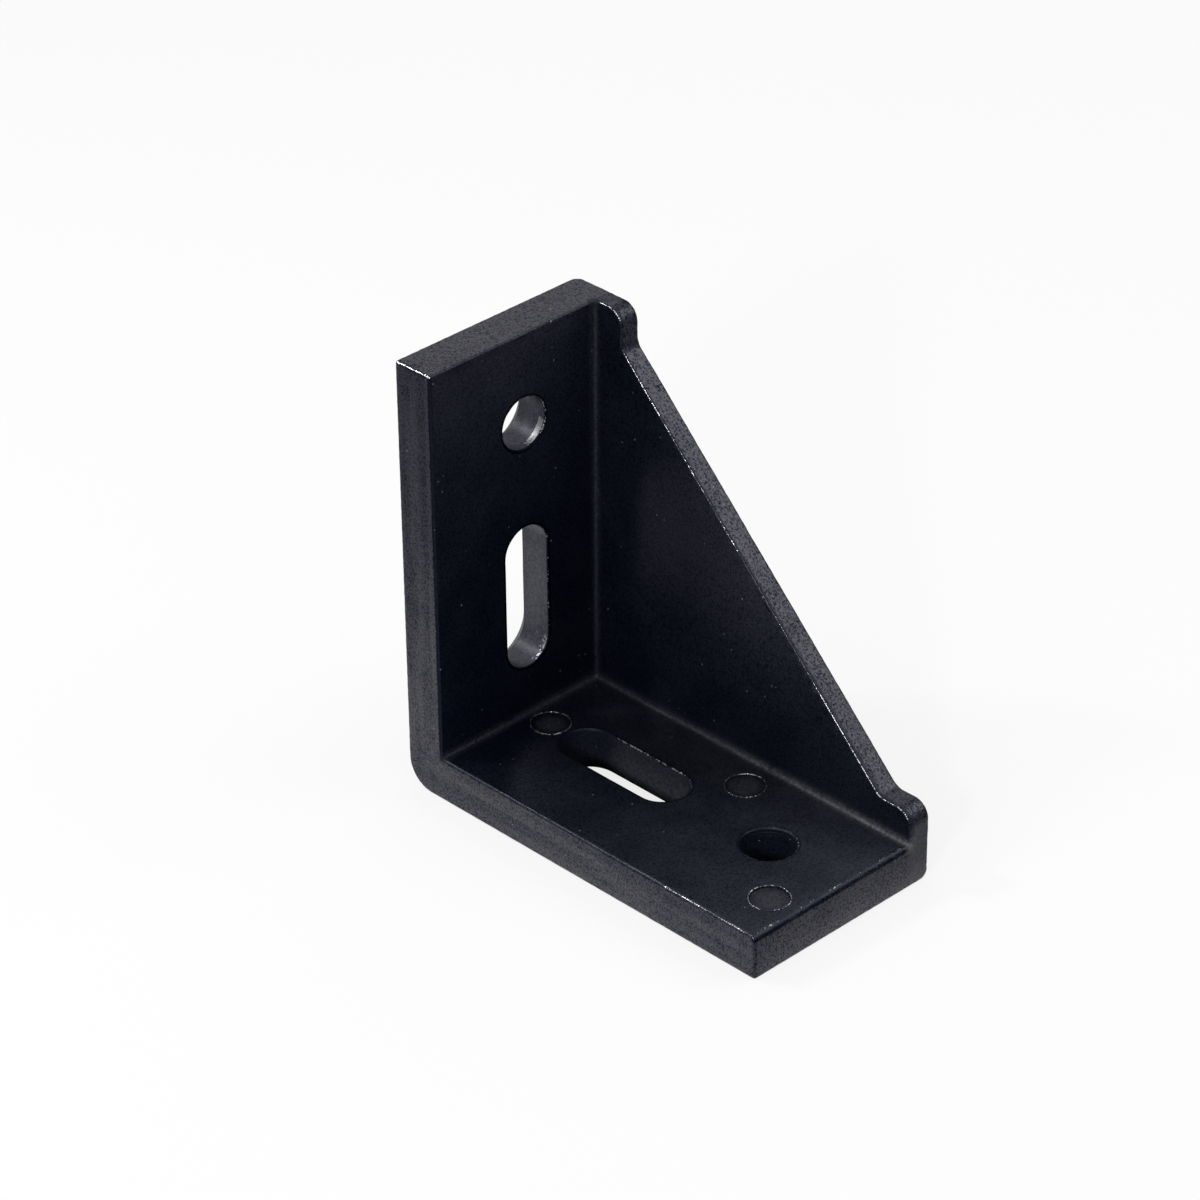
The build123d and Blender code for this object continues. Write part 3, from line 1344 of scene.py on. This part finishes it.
@dataclass(frozen=True)
class Lamp:
    """One softbox, placed by the direction in which the bracket sees it."""

    name: str
    direction: Vector
    distance: float
    level: float
    width: float
    height: float
    target: Vector
    long_side: Vector = Vector((0.0, 0.0, 1.0))

    def hang(self) -> bpy.types.Object:
        """Makes the lamp and points it at its target on the bracket.

        Returns:
            The lamp.
        """
        data = bpy.data.lights.new(self.name, "AREA")
        data.shape = "RECTANGLE"
        data.size = self.width
        data.size_y = self.height
        data.energy = self.level * pi * self.width * self.height
        lamp = bpy.data.objects.new(self.name, data)
        bpy.context.scene.collection.objects.link(lamp)
        away = self.direction.normalized()
        across = self.long_side.cross(away).normalized()
        turn = Matrix((across, away.cross(across), away)).transposed()
        lamp.matrix_world = Matrix.Translation(self.target + away * self.distance) @ turn.to_4x4()
        lamp.visible_camera = False
        return lamp


@dataclass
class Studio:
    """The pale floor, the even light of the room and the softboxes."""

    room: float = 0.62
    ceiling: float = 0.77
    horizon: float = 0.30
    horizon_end: float = 0.45
    floor_size: float = 6.0
    floor_drop: float = 0.02 * MM
    lamps: tuple = (
        Lamp("left_box", Vector((-0.612, -0.404, 0.680)), 0.30, 42.0, 0.035, 0.060, Vector((-15, -15, 58)) * MM),
        Lamp("front_box", Vector((0.36, -0.79, 0.45)), 0.60, 90.0, 0.06, 0.06, Vector((0, 11, 32)) * MM),
        Lamp("back_box", Vector((0.42, 0.60, 0.67)), 0.60, 1.7, 0.42, 0.30, Vector((0, 0, 30)) * MM),
    )

    def floor(self) -> bpy.types.Object:
        """Lays the floor.

        Returns:
            The floor.
        """
        bpy.ops.object.select_all(action="DESELECT")
        bpy.ops.mesh.primitive_plane_add(size=self.floor_size, location=(0.0, 0.0, -self.floor_drop))
        floor = bpy.context.active_object
        floor.name = "studio_floor"
        floor.data.materials.append(StageWhite("floor_white").material())
        return floor

    def world(self) -> None:
        """Sets the room's even light, which looks plain white itself and is reflected darker near the horizon."""
        world = bpy.data.worlds.new("studio_room")
        bpy.context.scene.world = world
        world.use_nodes = True
        graph = Graph(world.node_tree)
        place = graph.add("ShaderNodeTexCoord").out("Generated")
        _, _, up = graph.axes(place)
        wall = up.ramp(0.0, self.horizon_end) * (self.ceiling - self.horizon) + self.horizon
        direct = graph.seen_by(Lit.CAMERA)
        mirrored = graph.seen_by(Lit.GLOSSY, Lit.GLASS)
        even = (1 - direct) * (1 - mirrored) * self.room
        strength = direct + mirrored * wall + even
        light = graph.add("ShaderNodeBackground", None, {"Color": solid(1, 1, 1), "Strength": strength})
        graph.add("ShaderNodeOutputWorld", None, {"Surface": light})

    def build(self) -> None:
        """Sets up the floor, the room and every lamp."""
        self.floor()
        self.world()
        for lamp in self.lamps:
            lamp.hang()


@dataclass(frozen=True)
class PhotoCamera:
    """The camera, where the photograph was taken from. Azimuth 0 looks along +Y and 90 along -X."""

    azimuth: float = 45.96
    elevation: float = 31.58
    roll: float = 0.67
    distance: float = 561.1 * MM
    focal_length: float = 144.0
    aim: Vector = Vector((-6.14, -4.43, 31.42)) * MM

    def build(self) -> bpy.types.Object:
        """Makes the camera and hands the scene to it.

        Returns:
            The camera.
        """
        data = bpy.data.cameras.new("photo_camera")
        data.lens = self.focal_length
        data.sensor_width = 36.0
        data.clip_start = 0.01
        data.clip_end = 20.0
        camera = bpy.data.objects.new("photo_camera", data)
        bpy.context.scene.collection.objects.link(camera)
        turn, tilt = radians(self.azimuth), radians(self.elevation)
        back = Vector((sin(turn) * cos(tilt), -cos(turn) * cos(tilt), sin(tilt)))
        camera.location = self.aim + back * self.distance
        camera.rotation_mode = "QUATERNION"
        level = (-back).to_track_quat("-Z", "Y")
        camera.rotation_quaternion = level @ Quaternion((0, 0, 1), -radians(self.roll))
        bpy.context.scene.camera = camera
        return camera


def report(piece: bpy.types.Object) -> None:
    """Logs a finished piece with its face count."""
    log.info("%s: %d faces", piece.name, len(piece.data.polygons))


def main() -> None:
    """Builds the bracket, the studio and the camera."""
    logging.basicConfig(level=logging.INFO, format="%(name)s %(message)s")
    bpy.context.scene.view_settings.view_transform = "Standard"
    report(Casting().build(BlackCoat(), PinMarks(), MouldLines()))
    Studio().build()
    PhotoCamera().build()


if __name__ == "__main__":
    main()
